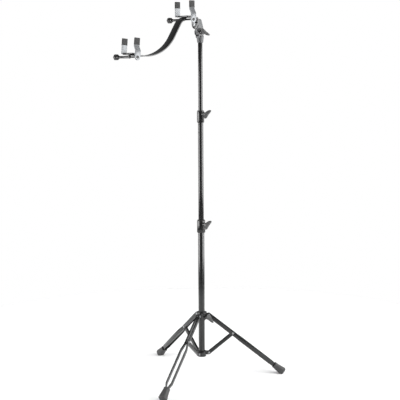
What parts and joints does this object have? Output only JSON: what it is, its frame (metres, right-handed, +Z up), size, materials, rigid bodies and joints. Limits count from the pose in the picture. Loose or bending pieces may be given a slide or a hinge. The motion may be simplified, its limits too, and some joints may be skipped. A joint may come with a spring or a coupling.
{
  "type": "guitar rack",
  "caption": "Telescopic tripod stand whose tilting head carries a curved steel band with two screw clamps that hold a guitar at playing height.",
  "frame": {"origin": "on the floor, under the middle of the bounding box; the mast axis stands at x = 29.75 mm, y = -68.45 mm", "axes": "+Z up along the mast; the curved band runs from the mast towards -X; the clamp screws run along Y, with their knobs towards +Y"},
  "size_m": [0.6308, 0.5462, 1.487],
  "materials": {
    "black_powder_coat": "semi-gloss black powder coat",
    "finger_steel": "satin zinc-plated steel, light grey",
    "zinc_fastener": "bright zinc",
    "cast_grey": "fine-textured grey casting",
    "dark_rod": "black oxide",
    "wing_plastic": "dark grey moulded nylon",
    "knob_plastic": "black moulded nylon",
    "sleeve_rubber": "matt dark grey rubber",
    "foot_rubber": "matt dark grey rubber",
    "bush_nylon": "black nylon"
  },
  "bodies": {
    "lower_mast": {"lower_tube": "black_powder_coat", "tube_foot_cap": "bush_nylon", "base_hub": "black_powder_coat", "hub_pins": "zinc_fastener", "lower_clutch_body": "black_powder_coat", "lower_clutch_bush": "bush_nylon", "lower_clutch_insert": "zinc_fastener"},
    "lower_clutch_wing": {"lower_clutch_wing": "wing_plastic"},
    "middle_mast": {"middle_tube": "black_powder_coat", "middle_guide_plug": "bush_nylon", "upper_clutch_body": "black_powder_coat", "upper_clutch_bush": "bush_nylon", "upper_clutch_insert": "zinc_fastener"},
    "upper_clutch_wing": {"upper_clutch_wing": "wing_plastic"},
    "upper_mast": {"upper_tube": "black_powder_coat", "upper_guide_plug": "bush_nylon", "tilt_socket": "cast_grey", "tilt_discs": "black_powder_coat", "tilt_bolt": "zinc_fastener"},
    "tilt_wing": {"tilt_wing": "wing_plastic"},
    "tilt_arm": {"tilt_arm": "cast_grey", "tab_bolt": "zinc_fastener", "tab_washer": "bush_nylon"},
    "rack": {"curved_band": "black_powder_coat", "clamp_rivets": "zinc_fastener", "screw_guides": "black_powder_coat", "upper_channel": "black_powder_coat", "upper_fixed_finger": "finger_steel", "upper_fixed_sleeve": "sleeve_rubber", "lower_channel": "black_powder_coat", "lower_fixed_finger": "finger_steel", "lower_fixed_sleeve": "sleeve_rubber"},
    "upper_jaw": {"upper_moving_finger": "finger_steel", "upper_moving_sleeve": "sleeve_rubber", "upper_tongue": "black_powder_coat", "upper_rod": "dark_rod"},
    "lower_jaw": {"lower_moving_finger": "finger_steel", "lower_moving_sleeve": "sleeve_rubber", "lower_tongue": "black_powder_coat", "lower_rod": "dark_rod"},
    "upper_knob": {"upper_knob": "knob_plastic", "upper_screw_sleeve": "black_powder_coat"},
    "lower_knob": {"lower_knob": "knob_plastic", "lower_screw_sleeve": "black_powder_coat"},
    "collar": {"leg_collar": "black_powder_coat", "collar_bush": "bush_nylon", "collar_pins": "zinc_fastener"},
    "collar_wing": {"collar_wing": "wing_plastic"},
    "brace_a": {"brace_a": "black_powder_coat"},
    "leg_a": {"leg_a_bars": "black_powder_coat", "leg_a_pin": "zinc_fastener", "foot_a": "foot_rubber"},
    "brace_b": {"brace_b": "black_powder_coat"},
    "leg_b": {"leg_b_bars": "black_powder_coat", "leg_b_pin": "zinc_fastener", "foot_b": "foot_rubber"},
    "brace_c": {"brace_c": "black_powder_coat"},
    "leg_c": {"leg_c_bars": "black_powder_coat", "leg_c_pin": "zinc_fastener", "foot_c": "foot_rubber"}
  },
  "joints": [
    {"name": "brace_a_fold", "type": "hinge", "parent": "lower_mast", "child": "brace_a", "pos_m": [0.05323, -0.08477, 0.0945], "axis": [-0.5707, -0.8211, 0], "range_deg": [0, 47]},
    {"name": "leg_a_fold", "type": "hinge", "parent": "brace_a", "child": "leg_a", "pos_m": [0.13275, -0.14004, 0.17275], "axis": [-0.5707, -0.8211, 0], "range_deg": [-94.01, 0.01]},
    {"name": "collar_pin_a", "type": "hinge", "parent": "leg_a", "child": "collar", "pos_m": [0.05323, -0.08477, 0.251], "axis": [-0.5707, -0.8211, 0], "range_deg": [-0.01, 47.01]},
    {"name": "brace_b_fold", "type": "hinge", "parent": "lower_mast", "child": "brace_b", "pos_m": [0.03214, -0.03995, 0.0945], "axis": [0.9965, -0.0837, 0], "range_deg": [-0.01, 47.01]},
    {"name": "leg_b_fold", "type": "hinge", "parent": "brace_b", "child": "leg_b", "pos_m": [0.04025, 0.05655, 0.17275], "axis": [0.9965, -0.0837, 0], "range_deg": [-94.01, 0.01]},
    {"name": "brace_c_fold", "type": "hinge", "parent": "lower_mast", "child": "brace_c", "pos_m": [0.00387, -0.08063, 0.0945], "axis": [-0.4258, 0.9048, 0], "range_deg": [-0.01, 47.01]},
    {"name": "leg_c_fold", "type": "hinge", "parent": "brace_c", "child": "leg_c", "pos_m": [-0.08375, -0.12186, 0.17275], "axis": [-0.4258, 0.9048, 0], "range_deg": [-94.01, 0.01]},
    {"name": "collar_wing_turn", "type": "hinge", "parent": "collar", "child": "collar_wing", "pos_m": [0.03414, -0.10418, 0.245], "axis": [0.1219, -0.9925, 0], "range_deg": [0, 270]},
    {"name": "lower_clutch_wing_turn", "type": "hinge", "parent": "lower_mast", "child": "lower_clutch_wing", "pos_m": [0.03268, -0.09227, 0.6215], "axis": [0.1219, -0.9925, 0], "range_deg": [0, 270]},
    {"name": "middle_tube_slide", "type": "slide", "parent": "lower_mast", "child": "middle_mast", "axis": [0, 0, 1], "range_m": [-0.38, 0.02]},
    {"name": "upper_clutch_wing_turn", "type": "hinge", "parent": "middle_mast", "child": "upper_clutch_wing", "pos_m": [0.03268, -0.09227, 1.057], "axis": [0.1219, -0.9925, 0], "range_deg": [0, 270]},
    {"name": "upper_tube_slide", "type": "slide", "parent": "middle_mast", "child": "upper_mast", "axis": [0, 0, 1], "range_m": [-0.25, 0.15]},
    {"name": "tilt_wing_turn", "type": "hinge", "parent": "upper_mast", "child": "tilt_wing", "pos_m": [0.02575, -0.09245, 1.371], "axis": [0, -1, 0], "range_deg": [0, 270]},
    {"name": "rack_tilt", "type": "hinge", "parent": "upper_mast", "child": "tilt_arm", "pos_m": [0.02575, -0.06845, 1.371], "axis": [0, 1, 0], "range_deg": [-45, 35]},
    {"name": "rack_roll", "type": "hinge", "parent": "tilt_arm", "child": "rack", "pos_m": [0.00575, -0.06845, 1.403], "axis": [1, 0, 0], "range_deg": [-40, 40]},
    {"name": "upper_jaw_slide", "type": "slide", "parent": "rack", "child": "upper_jaw", "axis": [0, 1, 0], "range_m": [-0.018, 0.023]},
    {"name": "upper_knob_turn", "type": "hinge", "parent": "rack", "child": "upper_knob", "pos_m": [-0.04225, 0.03055, 1.417], "axis": [0, -1, 0], "range_deg": [-4321, 5521]},
    {"name": "lower_jaw_slide", "type": "slide", "parent": "rack", "child": "lower_jaw", "axis": [0, 1, 0], "range_m": [-0.028, 0.013]},
    {"name": "lower_knob_turn", "type": "hinge", "parent": "rack", "child": "lower_knob", "pos_m": [-0.29217, 0.03055, 1.27711], "axis": [0, -1, 0], "range_deg": [-6721, 3121]}
  ],
  "couplings": [
    {"joint": "leg_a_fold", "follows": "brace_a_fold", "ratio": -2},
    {"joint": "collar_pin_a", "follows": "brace_a_fold", "ratio": 1},
    {"joint": "brace_b_fold", "follows": "brace_a_fold", "ratio": 1},
    {"joint": "leg_b_fold", "follows": "brace_a_fold", "ratio": -2},
    {"joint": "brace_c_fold", "follows": "brace_a_fold", "ratio": 1},
    {"joint": "leg_c_fold", "follows": "brace_a_fold", "ratio": -2},
    {"joint": "upper_knob_turn", "follows": "upper_jaw_slide", "rad_per_m": 4188.8},
    {"joint": "lower_knob_turn", "follows": "lower_jaw_slide", "rad_per_m": 4188.8}
  ]
}
